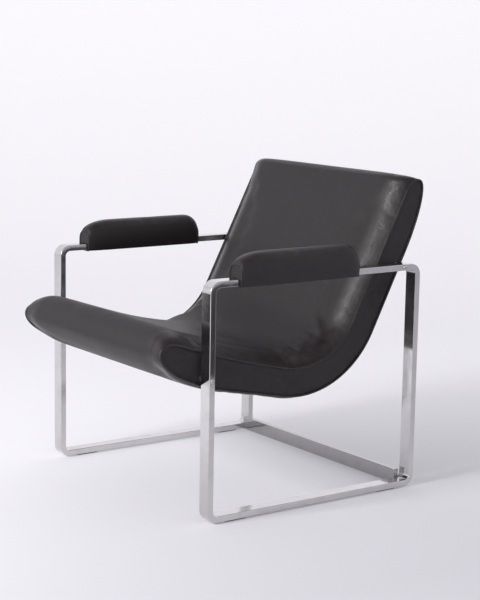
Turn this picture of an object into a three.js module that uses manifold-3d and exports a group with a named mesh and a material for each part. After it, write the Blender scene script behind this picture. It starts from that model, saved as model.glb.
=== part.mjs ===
// Leather sling lounge chair: a thick padded sling bolted between two closed loops of polished flat bar.
// Millimetres, +Z up. The chair faces -Y, its left side is +X, and it stands on Z = 0.
import * as THREE from "three";
import { mergeVertices } from "three/addons/utils/BufferGeometryUtils.js";
import Module from "manifold-3d";

const wasm = await Module();
wasm.setup();

const { Vector2, Vector3 } = THREE;
const radians = THREE.MathUtils.degToRad;

// Gap left between pieces that touch
const fit = 0.3;

// Side loops of flat bar, each bent into one closed frame
const loopDepth = 600; // front leg to rear leg, middle to middle
const loopHeight = 540; // floor runner to arm bar, middle to middle
const barWidth = 35; // across the chair
const barThickness = 15;
const barEdge = 1; // eased edges of the bar
const bendRadius = 28; // outside of each corner

// Rear stretcher, the same bar set on edge between the runners
const stretcherInset = 18; // ahead of the middle of the rear legs

// Floor glides under the runners
const glideLength = 70;
const glideWidth = 24;
const glideHeight = 3;
const glideEdge = 0.6;
const glideInset = 75; // middle of a glide from the middle of its leg

// The line of the sling's underside and rear: seat, crease and back
const slingLowest = 262; // underside above the floor
const noseOverhang = 127; // start of the line ahead of the front legs
const seatPitch = radians(11.5);
const backLean = radians(27.1);
const creaseRadius = 245;
const backRun = 384; // straight part behind the back

// The pad's section
const padWidth = 624;
const padGap = 10; // from the pad's sides to the loops
const sideDraw = 3; // how far the sides are drawn in between their seams
const boxing = 62; // height of the sides
const crown = 30; // how far the face stands above its side seams
const crownPower = 9; // how flat the crown is across the middle
const noseRise = 30; // extra height of the seat at the front
const rearCrown = 3;

// The pad's ends
const noseReach = 56; // length of the front roll on the face
const noseUnder = 200; // length of the front roll on the underside
const noseTip = 62; // height of the front roll's foremost line
const noseDraw = 6; // how far the front corners are drawn back
const topReach = 30; // length of the top's rounding on the face
const topSlope = 170; // length of the top's rounding at the rear
const topTip = 38;
const topDraw = 3; // how far the top corners are drawn down

// Leather cover
const leather = 2;
const weltRadius = 2.5;
const faceEdge = radians(2.5); // where the face panel starts on the crown, past the welt

// Steel frame inside the sling
const frameStart = 78; // from the nose, along the underside
const frameInset = 65; // from the top, along the rear
const railSize = 25;
const railWall = 2;
const railInset = 6; // outer face of a rail from the pad's side
const railLift = 1; // rail above the cover's line
const crossRadius = 11;
const crossWall = 1.5;
const crossInset = 14; // end cross tubes from the ends of the rails

// Webbing straps across the rails
const strapWidth = 52;
const strapThickness = 2;
const strapOverlap = 18; // how far a strap lies on each rail
const seatStraps = 4;
const backStraps = 4;

// Bolts that hang the sling in the loops
const boltRadius = 3;
const boltHole = 3.4;
const headRadius = 5.5;
const headHeight = 3.3;
const headRim = 0.25; // share of the head's height that stands straight
const socketRadius = 2.3;
const socketDepth = 1.8;
const spacerRadius = 8;
const rearBoltInset = 41.5; // along the arm bar, ahead of the rear legs
const nutRadius = 7.5; // to its corners
const nutThickness = 8;

// Arm pads
const armFront = -226;
const armRear = 107;
const armHalf = 29; // half the width of the foam
const armRise = 64; // foam above the middle of the arm bar
const armBelly = 12; // widest level above the middle of the arm bar
const armFrontEnd = 70; // length of the rounding at the front
const armRearEnd = 30; // and at the rear
const armEndWidth = 0.76; // share of the width left at the end faces
const armEndRise = 0.5; // share of the height left at the end faces
const armRound = 0.8; // 1 for an oval top, less for a squarer one
const armFlat = 0.86; // share of the width that is flat underneath
const armChine = [0.98, 0.55]; // shares of width and depth where the sides start to turn under

// How finely curves are divided
const faceSteps = 12;
const rearSteps = 6;
const armSteps = 5;
const armSides = 10;
const weltSides = 6;
const tubeSides = 14;
const spacerSides = 16;
const boltSides = 12;
const domeSteps = 4;
const hexagon = 6;

// Lines worked out from the sizes above
const runnerZ = glideHeight + fit + barThickness / 2;
const armZ = runnerZ + loopHeight;
const padHalf = padWidth / 2;
const loopInner = padHalf + padGap;
const loopOuter = loopInner + barWidth;
const railOuter = padHalf - railInset;
const railInner = railOuter - railSize;
const railMiddle = railLift + railSize / 2;
const strapLift = railLift + railSize + fit;
const foamLift = strapLift + strapThickness + fit;
const weltX = padHalf + fit + weltRadius;
const armUnder = barThickness / 2 + fit; // foam below the middle of the arm bar

// The sling's place: the rails meet the arm bars at the rear bolts, and the nose overhangs the front legs
const creaseZ = slingLowest + creaseRadius;
const railRadius = creaseRadius - railMiddle;
const boltRise = armZ - creaseZ + railRadius * Math.sin(backLean); // end of the crease to the rear bolts
const boltReach = railRadius * Math.cos(backLean) + boltRise * Math.tan(backLean);
const slingMiddle = loopDepth / 2 - rearBoltInset - boltReach;
const creaseStart = slingMiddle - creaseRadius * Math.sin(seatPitch);
const seatRun = (creaseStart + loopDepth / 2 + noseOverhang) / Math.cos(seatPitch);
const creaseTurn = Math.PI / 2 - backLean + seatPitch;
const creaseRun = creaseRadius * creaseTurn;
const creaseEnd = seatRun + creaseRun;
const spineLength = creaseEnd + backRun;
const frameEnd = spineLength - frameInset;

// Finishes
function finish(color, roughness, metalness) {
  return new THREE.MeshStandardMaterial({ color, roughness, metalness });
}
const polishedSteel = () => finish(0xc9cbcd, 0.12, 1);
const blackSteel = () => finish(0x2a2b2d, 0.5, 0.8);
const zincSteel = () => finish(0x9a9c9e, 0.35, 1);
const blackLeather = () => finish(0x2b2828, 0.45, 0);
const paleFoam = () => finish(0xd9cfa8, 0.95, 0);
const blackWebbing = () => finish(0x1d1d1f, 0.9, 0);
const blackNylon = () => finish(0x161617, 0.6, 0);

// A closed geometry with shared corners, no flat triangles and its faces pointing out
function closed(points, triangles) {
  const position = new THREE.Float32BufferAttribute(points.flatMap((p) => p.toArray()), 3);
  const loose = new THREE.BufferGeometry().setAttribute("position", position).setIndex(triangles);
  const merged = mergeVertices(loose);
  const corner = (i) => new Vector3().fromBufferAttribute(merged.getAttribute("position"), i);
  const kept = [];
  let volume = 0;
  for (let i = 0; i < merged.index.count; i += 3) {
    const [a, b, c] = merged.index.array.subarray(i, i + 3);
    if (a === b || b === c || c === a) continue;
    kept.push([a, b, c]);
    volume += corner(a).dot(corner(b).cross(corner(c)));
  }
  const faces = volume < 0 ? kept.map(([a, b, c]) => [a, c, b]) : kept;
  return merged.setIndex(faces.flat());
}

// The same for a geometry made by one of the library's classes
function tidy(geometry) {
  const plain = geometry.index ? geometry.toNonIndexed() : geometry;
  const place = plain.getAttribute("position");
  const points = Array.from({ length: place.count }, (_, i) => new Vector3().fromBufferAttribute(place, i));
  return closed(points, points.map((_, i) => i));
}

// A solid between two grids of points with the same rows and columns
function between(top, bottom) {
  const rows = top.length;
  const columns = top[0].length;
  const points = [...top.flat(), ...bottom.flat()];
  const triangles = [];
  const at = (layer, row, column) => (layer * rows + row) * columns + column;
  const quad = (a, b, c, d) => triangles.push(a, b, c, a, c, d);
  for (let r = 0; r + 1 < rows; r++) {
    for (let c = 0; c + 1 < columns; c++) {
      quad(at(0, r, c), at(0, r, c + 1), at(0, r + 1, c + 1), at(0, r + 1, c));
      quad(at(1, r, c), at(1, r + 1, c), at(1, r + 1, c + 1), at(1, r, c + 1));
    }
    const last = columns - 1;
    quad(at(0, r, 0), at(0, r + 1, 0), at(1, r + 1, 0), at(1, r, 0));
    quad(at(0, r + 1, last), at(0, r, last), at(1, r, last), at(1, r + 1, last));
  }
  for (let c = 0; c + 1 < columns; c++) {
    const last = rows - 1;
    quad(at(0, 0, c + 1), at(0, 0, c), at(1, 0, c), at(1, 0, c + 1));
    quad(at(0, last, c), at(0, last, c + 1), at(1, last, c + 1), at(1, last, c));
  }
  return closed(points, triangles);
}

// A solid skinned over rings of points: capped at both ends, or joined end to start
function skinned(rings, joined = false) {
  const sides = rings[0].length;
  const triangles = [];
  const strips = joined ? rings.length : rings.length - 1;
  for (let r = 0; r < strips; r++) {
    for (let i = 0; i < sides; i++) {
      const next = ((r + 1) % rings.length) * sides;
      const [a, b] = [r * sides + i, r * sides + ((i + 1) % sides)];
      const [c, d] = [next + ((i + 1) % sides), next + i];
      triangles.push(a, b, c, a, c, d);
    }
  }
  const lastRing = (rings.length - 1) * sides;
  for (let i = 1; !joined && i + 1 < sides; i++) {
    triangles.push(0, i + 1, i, lastRing, lastRing + i, lastRing + i + 1);
  }
  return closed(rings.flat(), triangles);
}

// Solids for joining and cutting
function solid(geometry) {
  const mesh = { numProp: 3, vertProperties: geometry.getAttribute("position").array };
  return new wasm.Manifold(new wasm.Mesh({ ...mesh, triVerts: new Uint32Array(geometry.index.array) }));
}

function cut(geometry, ...tools) {
  const result = tools.reduce((body, tool) => body.subtract(solid(tool)), solid(geometry)).getMesh();
  const points = new THREE.BufferAttribute(new Float32Array(result.vertProperties), 3);
  return new THREE.BufferGeometry().setAttribute("position", points).setIndex([...result.triVerts]);
}

// A shape drawn in Y and Z, drawn out along X from the chair's middle plane
const [alongX, alongY, alongZ] = [new Vector3(1, 0, 0), new Vector3(0, 1, 0), new Vector3(0, 0, 1)];
const acrossChair = new THREE.Matrix4().makeBasis(alongY, alongZ, alongX);

function roundedRectangle(path, halfWidth, halfHeight, radius) {
  const [x, y] = [halfWidth - radius, halfHeight - radius];
  path.moveTo(-x, -halfHeight);
  path.absarc(x, -y, radius, -Math.PI / 2, 0);
  path.absarc(x, y, radius, 0, Math.PI / 2);
  path.absarc(-x, y, radius, Math.PI / 2, Math.PI);
  path.absarc(-x, -y, radius, Math.PI, 1.5 * Math.PI);
  path.closePath();
  return path;
}

// An eased edge on a shape that is drawn out, inside its outline
function eased(edge) {
  return { bevelThickness: edge, bevelSize: edge, bevelOffset: -edge, bevelSegments: 1 };
}

// A piece turned about X from a profile of radius and distance along the axis
function turned(profile, sides) {
  const points = profile.map(([radius, along]) => new Vector2(radius, along));
  return tidy(new THREE.LatheGeometry(points, sides).rotateZ(-Math.PI / 2));
}

const sleeve = (radius, bore, length, sides) =>
  turned([[bore, 0], [radius, 0], [radius, length], [bore, length], [bore, 0]], sides);

const rod = (radius, from, to, place, sides) =>
  turned([[0, from], [radius, from], [radius, to], [0, to]], sides).translate(0, place.x, place.y);

// The sling's line: a point in Y and Z, and the direction towards the sitter
function spine(s) {
  const heading = THREE.MathUtils.clamp((s - seatRun) / creaseRadius, 0, creaseTurn) - seatPitch;
  const along = new Vector2(Math.cos(heading), Math.sin(heading));
  const up = new Vector2(-along.y, along.x);
  const straight = Math.min(s - seatRun, 0) + Math.max(s - creaseEnd, 0);
  const point = new Vector2(slingMiddle, creaseZ).addScaledVector(up, -creaseRadius);
  return { point: point.addScaledVector(along, straight), up };
}

function inPlane(s, lift) {
  const { point, up } = spine(s);
  return point.addScaledVector(up, lift);
}

function onSling(x, s, lift) {
  const place = inPlane(s, lift);
  return new Vector3(x, place.x, place.y);
}

// The pad's two faces at a station
// swell is 0 at the sides and 1 in the middle, and grow steps out through the cover
const padStart = (swell, grow) => noseDraw * (1 - swell) - grow;
const padEnd = (swell, grow) => spineLength - topDraw * (1 - swell) + grow;
const roundEnd = (distance, reach) => Math.sqrt(Math.max(0, 1 - (1 - Math.min(distance / reach, 1)) ** 2));

function padFaces(s, swell, grow) {
  const face = boxing + noseRise * Math.max(0, 1 - s / seatRun) ** 2 + crown * swell + grow;
  const rear = -rearCrown * swell - grow;
  const rounded = (distance, tip, faceReach, rearReach) => ({
    face: tip + (face - tip) * roundEnd(distance, faceReach + grow),
    rear: tip + (rear - tip) * roundEnd(distance, rearReach + grow),
  });
  if (s < seatRun) return rounded(s - padStart(swell, grow), noseTip, noseReach, noseUnder);
  return rounded(padEnd(swell, grow) - s, topTip, topReach, topSlope);
}

// How far a side is drawn in halfway between its seams, less where the side narrows
const drawnIn = ({ face, rear }) => sideDraw * Math.min(1, (face - rear) / boxing);

// Stations from the nose to the top, close together on the round ends
const noseSteps = 6;
const seatSteps = 4;
const creaseSteps = 8;
const backSteps = 5;
const topSteps = 6;
const firstFrameStation = noseSteps + 1;
const lastFrameStation = firstFrameStation + seatSteps + creaseSteps + backSteps;

function stations(swell, grow) {
  const [start, end] = [padStart(swell, grow), padEnd(swell, grow)];
  const list = [];
  const run = (from, to, steps, ease = (t) => t) => {
    for (let i = 0; i < steps; i++) list.push(from + (to - from) * ease(i / steps));
  };
  run(start, start + noseReach + grow, noseSteps, (t) => 1 - Math.cos((t * Math.PI) / 2));
  list.push(start + noseReach + grow);
  run(frameStart, seatRun, seatSteps);
  run(seatRun, creaseEnd, creaseSteps);
  run(creaseEnd, frameEnd, backSteps);
  list.push(frameEnd);
  run(end - topReach - grow, end, topSteps, (t) => Math.sin((t * Math.PI) / 2));
  list.push(end);
  return list;
}

// Columns across the pad, from its right seam to its left one
function columns(count, edge = 0) {
  return Array.from({ length: count + 1 }, (_, i) => {
    const angle = edge + ((Math.PI - 2 * edge) * i) / count;
    const reach = Math.abs(Math.cos(angle)) ** (2 / crownPower);
    return { share: -Math.sign(Math.cos(angle)) * reach, swell: Math.sin(angle) };
  });
}

const faceColumns = columns(faceSteps, faceEdge);

// The frame runs straight from station to station along the pad's rear line
const frameStations = stations(0, 0).slice(firstFrameStation, lastFrameStation + 1);

function onFrame(x, s, lift) {
  const at = (station) => onSling(x, station, padFaces(station, 0, 0).rear + lift);
  const i = Math.max(1, frameStations.findIndex((station) => station >= s));
  const [from, to] = [frameStations[i - 1], frameStations[i]];
  return at(from).lerp(at(to), (s - from) / (to - from));
}

// Foam pad: crowned on the face, drawn in at the sides, with a pocket for the frame
function foamPad() {
  const list = (swell) => {
    const all = stations(swell, 0);
    all.splice(lastFrameStation, 0, all[lastFrameStation]);
    all.splice(firstFrameStation, 0, all[firstFrameStation]);
    return all;
  };
  const inPocket = (i) => i > firstFrameStation && i <= lastFrameStation + 1;
  const seams = [{ share: -1, swell: 0 }, ...faceColumns, { share: 1, swell: 0 }];
  const pocketLift = (s) => padFaces(s, 0, 0).rear + foamLift;
  const faceColumn = ({ share, swell }) =>
    list(swell).map((s) => onSling(share * padHalf, s, padFaces(s, swell, 0).face));
  const rearColumn = ({ share, swell }) =>
    list(swell).map((s, i) =>
      inPocket(i)
        ? onSling(share * (padHalf - drawnIn(padFaces(s, 0, 0))), s, pocketLift(s))
        : onSling(share * padHalf, s, padFaces(s, swell, 0).rear),
    );
  const sideColumn = (side) =>
    list(0).map((s, i) => {
      const faces = padFaces(s, 0, 0);
      const middle = (faces.face + faces.rear) / 2;
      const lift = inPocket(i) ? Math.max(middle, pocketLift(s)) : middle;
      return onSling(side * (padHalf - drawnIn(faces)), s, lift);
    });
  const across = (column) => [sideColumn(-1), ...seams.map(column), sideColumn(1)];
  return between(across(faceColumn), across(rearColumn));
}

// Face panel: one hide from under the nose, over seat and back, to just behind the top
function facePanel() {
  const layer = (grow) =>
    faceColumns.map(({ share, swell }) => {
      const list = stations(swell, grow);
      const x = share * padHalf;
      const rear = (s) => onSling(x, s, padFaces(s, swell, grow).rear);
      const face = (s) => onSling(x, s, padFaces(s, swell, grow).face);
      const underNose = list.slice(1, firstFrameStation + 1).reverse();
      const behindTop = list.slice(lastFrameStation, -1).reverse();
      return [...underNose.map(rear), ...list.map(face), ...behindTop.map(rear)];
    });
  return between(layer(fit + leather), layer(fit));
}

// Rear panel: from the seam under the nose to the seam behind the top
function rearPanel() {
  const layer = (grow) =>
    columns(rearSteps).map(({ share, swell }) => {
      const list = stations(swell, grow).slice(firstFrameStation, lastFrameStation + 1);
      list[0] += 2 * fit;
      list[list.length - 1] -= 2 * fit;
      return list.map((s) => onSling(share * padHalf, s, padFaces(s, swell, grow).rear));
    });
  return between(layer(fit + leather), layer(fit));
}

// Side boxing: a band between the two welts, drawn in along its middle, with holes for the spacers
function sideBoxing(side) {
  const inset = -weltRadius - 2 * fit;
  const list = stations(0, inset);
  list[0] += fit;
  list[list.length - 1] -= fit;
  const layer = (out) => {
    const row = (share, draw) =>
      list.map((s) => {
        const faces = padFaces(s, 0, inset);
        const lift = faces.rear + share * (faces.face - faces.rear);
        return onSling(side * (padHalf + out - draw * drawnIn(faces)), s, lift);
      });
    return [row(0, 0), row(0.5, 1), row(1, 0)];
  };
  const band = between(layer(fit + leather), layer(fit));
  const ends = [side * railOuter, side * loopInner].sort((a, b) => a - b);
  return cut(band, ...boltPlaces.map((place) => rod(spacerRadius + fit, ...ends, place, spacerSides)));
}

// Welt: a cord in leather, sewn round the edge of the side boxing
function sideWelt(side) {
  const list = stations(0, 0);
  const faceLine = list.map((s) => inPlane(s, padFaces(s, 0, 0).face));
  const rearLine = list.slice(1, -1).reverse().map((s) => inPlane(s, padFaces(s, 0, 0).rear));
  const line = [...faceLine, ...rearLine];
  const rings = line.map((point, i) => {
    const next = line[(i + 1) % line.length];
    const before = line[(i + line.length - 1) % line.length];
    const along = next.clone().sub(before).normalize();
    const out = new Vector2(-along.y, along.x);
    return Array.from({ length: weltSides }, (_, k) => {
      const angle = (2 * k * Math.PI) / weltSides;
      const place = point.clone().addScaledVector(out, weltRadius * Math.cos(angle));
      return new Vector3(side * weltX + weltRadius * Math.sin(angle), place.x, place.y);
    });
  });
  return skinned(rings, true);
}

// Side rail: square tube bent to the sling's line, drilled for its two bolts
function sideRail(side) {
  const tube = (wall, spare) => {
    const ends = [...frameStations];
    ends[0] += fit - spare;
    ends[ends.length - 1] -= fit - spare;
    const [near, far] = [side * (railInner + wall), side * (railOuter - wall)];
    const rings = ends.map((s) => {
      const low = padFaces(s, 0, 0).rear + railLift + wall;
      const high = low + railSize - 2 * wall;
      return [onSling(near, s, low), onSling(far, s, low), onSling(far, s, high), onSling(near, s, high)];
    });
    return skinned(rings);
  };
  const hole = [side * (railOuter - railSize / 2), side * (railOuter + railSize)].sort((a, b) => a - b);
  const drilled = boltPlaces.map((place) => rod(boltHole, ...hole, place, boltSides));
  return cut(tube(0, 0), tube(railWall, 1), ...drilled);
}

// Strap: a band of webbing laid over both rails
function strap(middle) {
  const reach = railInner + strapOverlap;
  const [from, to] = [middle - strapWidth / 2, middle + strapWidth / 2];
  const list = [from, ...frameStations.filter((s) => s > from && s < to), to];
  const layer = (lift) => [-reach, reach].map((x) => list.map((s) => onFrame(x, s, lift)));
  return between(layer(strapLift + strapThickness), layer(strapLift));
}

// Side loop: the flat bar with its four bends and the two bolt holes
function sideLoop() {
  const half = barThickness / 2;
  const [depth, height] = [loopDepth / 2, loopHeight / 2];
  const shape = roundedRectangle(new THREE.Shape(), depth + half, height + half, bendRadius);
  const insideBend = bendRadius - barThickness;
  shape.holes.push(roundedRectangle(new THREE.Path(), depth - half, height - half, insideBend));
  for (const place of boltPlaces) {
    shape.holes.push(new THREE.Path().absarc(place.x, place.y - runnerZ - height, boltHole, 0, 2 * Math.PI));
  }
  const depthOfBar = barWidth - 2 * barEdge;
  const bar = new THREE.ExtrudeGeometry(shape, { depth: depthOfBar, curveSegments: 4, ...eased(barEdge) });
  return tidy(bar.translate(0, 0, barEdge - barWidth / 2).applyMatrix4(acrossChair));
}

// Stretcher: the bar on edge, its ends flat against the runners
function stretcher() {
  const section = roundedRectangle(new THREE.Shape(), barThickness / 2, barWidth / 2, barEdge);
  const length = 2 * (loopInner - fit);
  const bar = new THREE.ExtrudeGeometry(section, { depth: length, curveSegments: 2, bevelEnabled: false });
  return tidy(bar.translate(0, 0, -length / 2).applyMatrix4(acrossChair));
}

// Glide: a slot-shaped pad with an eased rim
function glide() {
  const [half, end] = [glideWidth / 2, glideLength / 2];
  const shape = roundedRectangle(new THREE.Shape(), half, end, half - glideEdge);
  const depth = glideHeight - 2 * glideEdge;
  const pad = new THREE.ExtrudeGeometry(shape, { depth, curveSegments: 2, ...eased(glideEdge) });
  return tidy(pad.translate(0, 0, glideEdge));
}

// Bolt: button head outside the loop at X = 0, shank running in to its nut
function bolt() {
  const shank = loopOuter - railOuter + fit + railWall + nutThickness + 2 * fit;
  const dome = Array.from({ length: domeSteps + 1 }, (_, i) => {
    const angle = (i * Math.PI) / (2 * domeSteps);
    return [headRadius * Math.cos(angle), fit + headHeight * (headRim + (1 - headRim) * Math.sin(angle))];
  });
  dome[dome.length - 1][0] = 0;
  const stem = [[0, -shank], [boltRadius, -shank], [boltRadius, fit], [headRadius, fit]];
  const body = turned([...stem, ...dome], boltSides);
  const socket = new Vector2(0, 0);
  return cut(body, rod(socketRadius, fit + headHeight - socketDepth, fit + 2 * headHeight, socket, hexagon));
}

// Nut: a hexagon inside the rail, against its outer wall
function nut() {
  const corner = (_, i) => new Vector2(nutRadius, 0).rotateAround(new Vector2(), (2 * i * Math.PI) / hexagon);
  const shape = new THREE.Shape(Array.from({ length: hexagon }, corner));
  shape.holes.push(new THREE.Path().absarc(0, 0, boltHole, 0, 2 * Math.PI));
  const drawn = { depth: nutThickness, curveSegments: hexagon, bevelEnabled: false };
  const block = new THREE.ExtrudeGeometry(shape, drawn);
  return tidy(block.translate(0, 0, -nutThickness).applyMatrix4(acrossChair));
}

// Arm pad: a rounded form along the arm bar, grown outwards for the cover
function armForm(grow) {
  const [front, rear] = [armFront - grow, armRear + grow];
  const [frontEnd, rearEnd] = [armFrontEnd + grow, armRearEnd + grow];
  const turn = (i) => (i * Math.PI) / (2 * (armSteps - 1));
  const run = Array.from({ length: armSteps }, (_, i) => 1 - Math.cos(turn(i)));
  const places = [...run.map((d) => front + d * frontEnd), ...run.map((d) => rear - d * rearEnd).reverse()];
  const rings = places.map((y) => {
    const full = Math.min(roundEnd(y - front, frontEnd), roundEnd(rear - y, rearEnd));
    const half = (armHalf + grow) * (armEndWidth + (1 - armEndWidth) * full);
    const rise = (armRise + grow - armBelly) * (armEndRise + (1 - armEndRise) * full);
    const drop = armBelly + armUnder + grow;
    const over = Array.from({ length: armSides + 1 }, (_, i) => {
      const angle = (i * Math.PI) / armSides;
      const across = Math.sign(Math.cos(angle)) * Math.abs(Math.cos(angle)) ** armRound;
      return [half * across, rise * Math.sin(angle) ** armRound];
    });
    const turnedUnder = [armChine, [armFlat, 1]].map(([x, z]) => [half * x, -drop * z]);
    const under = [...turnedUnder.map(([x, z]) => [-x, z]), ...turnedUnder.toReversed()];
    return [...over, ...under].map(([x, z]) => new Vector3(x, y, armZ + armBelly + z));
  });
  return skinned(rings);
}

// The run of the arm bar through an arm pad, down to a level below the bar's middle
function barPassage(below) {
  const wide = barWidth + 2 * fit;
  const tall = barThickness / 2 + fit + below;
  const long = armRear - armFront + armFrontEnd + armRearEnd;
  const block = new THREE.BoxGeometry(wide, long, tall);
  return tidy(block.translate(0, (armFront + armRear) / 2, armZ - below + tall / 2));
}

const armFoam = () => cut(armForm(0), barPassage(2 * armUnder));
const armCover = () => cut(armForm(fit + leather), armForm(fit), barPassage(barThickness / 2 + fit));

// Where the rails cross the front legs and the arm bars
function railCrossing(axis, value) {
  const line = frameStations.map((s) => onFrame(0, s, railMiddle));
  const i = line.findIndex((point, k) => k > 0 && (line[k - 1][axis] - value) * (point[axis] - value) <= 0);
  const share = (value - line[i - 1][axis]) / (line[i][axis] - line[i - 1][axis]);
  const place = line[i - 1].clone().lerp(line[i], share);
  return new Vector2(place.y, place.z);
}
const boltPlaces = [railCrossing("y", -loopDepth / 2), railCrossing("z", armZ)];

// Assembly
const chair = new THREE.Group();

function add(name, geometry, material, x = 0, y = 0, z = 0) {
  const mesh = new THREE.Mesh(geometry, material);
  mesh.name = name;
  mesh.position.set(x, y, z);
  chair.add(mesh);
  return mesh;
}

const sides = [["left", 1], ["right", -1]];
for (const [word, side] of sides) {
  const loopX = (side * (loopInner + loopOuter)) / 2;
  add(`${word}_side_loop`, sideLoop(), polishedSteel(), loopX, 0, runnerZ + loopHeight / 2);
  for (const [end, way] of [["front", -1], ["rear", 1]]) {
    add(`${end}_${word}_glide`, glide(), blackNylon(), loopX, way * (loopDepth / 2 - glideInset));
  }
  add(`${word}_arm_foam`, armFoam(), paleFoam(), loopX);
  add(`${word}_arm_cover`, armCover(), blackLeather(), loopX);
}
const stretcherZ = runnerZ - barThickness / 2 + barWidth / 2;
add("rear_stretcher", stretcher(), polishedSteel(), 0, loopDepth / 2 - stretcherInset, stretcherZ);

// Sling frame
const crossPlaces = {
  nose_cross_tube: frameStart + crossInset,
  seat_cross_tube: (frameStart + seatRun) / 2,
  crease_cross_tube: seatRun + creaseRun / 2,
  lumbar_cross_tube: (creaseEnd + frameEnd) / 2,
  top_cross_tube: frameEnd - crossInset,
};
for (const [name, s] of Object.entries(crossPlaces)) {
  const length = 2 * (railInner - fit);
  const tube = sleeve(crossRadius, crossRadius - crossWall, length, tubeSides);
  add(name, tube, blackSteel(), ...onFrame(-length / 2, s, railMiddle));
}
const strapRow = (word, count, from, to) => {
  for (let i = 0; i < count; i++) {
    add(`${word}_strap_${i + 1}`, strap(from + ((i + 0.5) * (to - from)) / count), blackWebbing());
  }
};
strapRow("seat", seatStraps, frameStart, seatRun + creaseRun / 2);
strapRow("back", backStraps, seatRun + creaseRun / 2, frameEnd);

for (const [word, side] of sides) {
  add(`${word}_rail`, sideRail(side), blackSteel());
  for (const [i, end] of ["front", "rear"].entries()) {
    const { x: y, y: z } = boltPlaces[i];
    const turn = side > 0 ? 0 : Math.PI;
    const spacer = sleeve(spacerRadius, boltHole, loopInner - railOuter - 2 * fit, spacerSides);
    add(`${end}_${word}_spacer`, spacer, zincSteel(), side * (railOuter + fit), y, z).rotation.z = turn;
    add(`${end}_${word}_bolt`, bolt(), zincSteel(), side * loopOuter, y, z).rotation.z = turn;
    const nutX = side * (railOuter - railWall - fit);
    add(`${end}_${word}_nut`, nut(), zincSteel(), nutX, y, z).rotation.z = turn;
  }
}

// Sling upholstery
add("foam_pad", foamPad(), paleFoam());
add("face_panel", facePanel(), blackLeather());
add("rear_panel", rearPanel(), blackLeather());
for (const [word, side] of sides) {
  add(`${word}_boxing`, sideBoxing(side), blackLeather());
  add(`${word}_welt`, sideWelt(side), blackLeather());
}

// The origin is on the floor under the middle of the chair
const reach = new THREE.Box3().setFromObject(chair);
chair.position.y = -(reach.min.y + reach.max.y) / 2;
const part = new THREE.Group();
part.add(chair);

export default part;
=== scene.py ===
import math

import bpy
from mathutils import Matrix, Vector
from mathutils.bvhtree import BVHTree


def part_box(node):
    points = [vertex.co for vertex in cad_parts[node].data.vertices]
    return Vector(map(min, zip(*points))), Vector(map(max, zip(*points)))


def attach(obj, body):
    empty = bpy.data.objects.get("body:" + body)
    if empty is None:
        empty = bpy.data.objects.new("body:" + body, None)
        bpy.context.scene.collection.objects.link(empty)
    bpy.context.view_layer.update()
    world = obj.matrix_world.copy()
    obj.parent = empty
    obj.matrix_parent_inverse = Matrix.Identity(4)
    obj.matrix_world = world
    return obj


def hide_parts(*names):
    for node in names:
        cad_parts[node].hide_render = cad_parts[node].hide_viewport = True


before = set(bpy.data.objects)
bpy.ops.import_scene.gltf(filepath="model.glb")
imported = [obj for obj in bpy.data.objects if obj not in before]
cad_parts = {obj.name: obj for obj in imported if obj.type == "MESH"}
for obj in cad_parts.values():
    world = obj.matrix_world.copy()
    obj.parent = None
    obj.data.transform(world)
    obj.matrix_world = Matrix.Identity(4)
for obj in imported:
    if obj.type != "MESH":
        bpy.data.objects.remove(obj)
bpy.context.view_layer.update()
bothSides = {"left": 1, "right": -1}
justUnder = 0.99  # for picking what lies at a limit


# Working tools
def deselectAll():
    if bpy.context.object and bpy.context.object.mode != "OBJECT":
        bpy.ops.object.mode_set(mode="OBJECT")
    bpy.ops.object.select_all(action="DESELECT")


def workOn(piece):
    deselectAll()
    piece.select_set(True)
    bpy.context.view_layer.objects.active = piece
    return piece


def startPiece(name):
    piece = bpy.context.object
    piece.name = piece.data.name = name
    return piece


def sizeAndPlace(piece, size, place):
    workOn(piece)
    piece.scale = size
    piece.location = place
    bpy.ops.object.transform_apply(location=True, rotation=True, scale=True)


def modify(piece, kind, **settings):
    workOn(piece)
    modifier = piece.modifiers.new(kind.lower(), kind)
    for key, value in settings.items():
        setattr(modifier, key, value)
    bpy.ops.object.modifier_apply(modifier=modifier.name)


def editing(piece, selectMode="VERT"):
    workOn(piece)
    bpy.ops.object.mode_set(mode="EDIT")
    bpy.ops.mesh.select_mode(type=selectMode)
    bpy.ops.mesh.select_all(action="DESELECT")


def pick(piece, wanted, part="vertices"):
    bpy.ops.object.mode_set(mode="OBJECT")
    for item in getattr(piece.data, part):
        item.select = wanted(item)
    bpy.ops.object.mode_set(mode="EDIT")


def doneEditing():
    bpy.ops.object.mode_set(mode="OBJECT")


def copyOf(piece, name):
    twin = piece.copy()
    twin.data = piece.data.copy()
    twin.name = twin.data.name = name
    bpy.context.scene.collection.objects.link(twin)
    return twin


def meshFrom(name, points, faces):
    mesh = bpy.data.meshes.new(name)
    mesh.from_pydata([tuple(p) for p in points], [], faces)
    piece = bpy.data.objects.new(name, mesh)
    bpy.context.scene.collection.objects.link(piece)
    editing(piece)
    bpy.ops.mesh.select_all(action="SELECT")
    bpy.ops.mesh.normals_make_consistent(inside=False)
    doneEditing()
    return piece


def smooth(piece, degrees=None):
    workOn(piece)
    if degrees is None:
        bpy.ops.object.shade_smooth()
    else:
        bpy.ops.object.shade_smooth_by_angle(angle=math.radians(degrees))


def finishPiece(piece, slot, finish, *replaced):
    piece.data.materials.clear()
    piece.data.materials.append(finish)
    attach(piece, "root")
    if replaced:
        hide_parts(*replaced)


# Where the frame stands
loopLow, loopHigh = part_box("left_side_loop")
loopMiddle = (loopLow + loopHigh) / 2
barThickness = 0.015
armBarZ = loopHigh.z - barThickness / 2
runnerZ = loopLow.z + barThickness / 2

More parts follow.
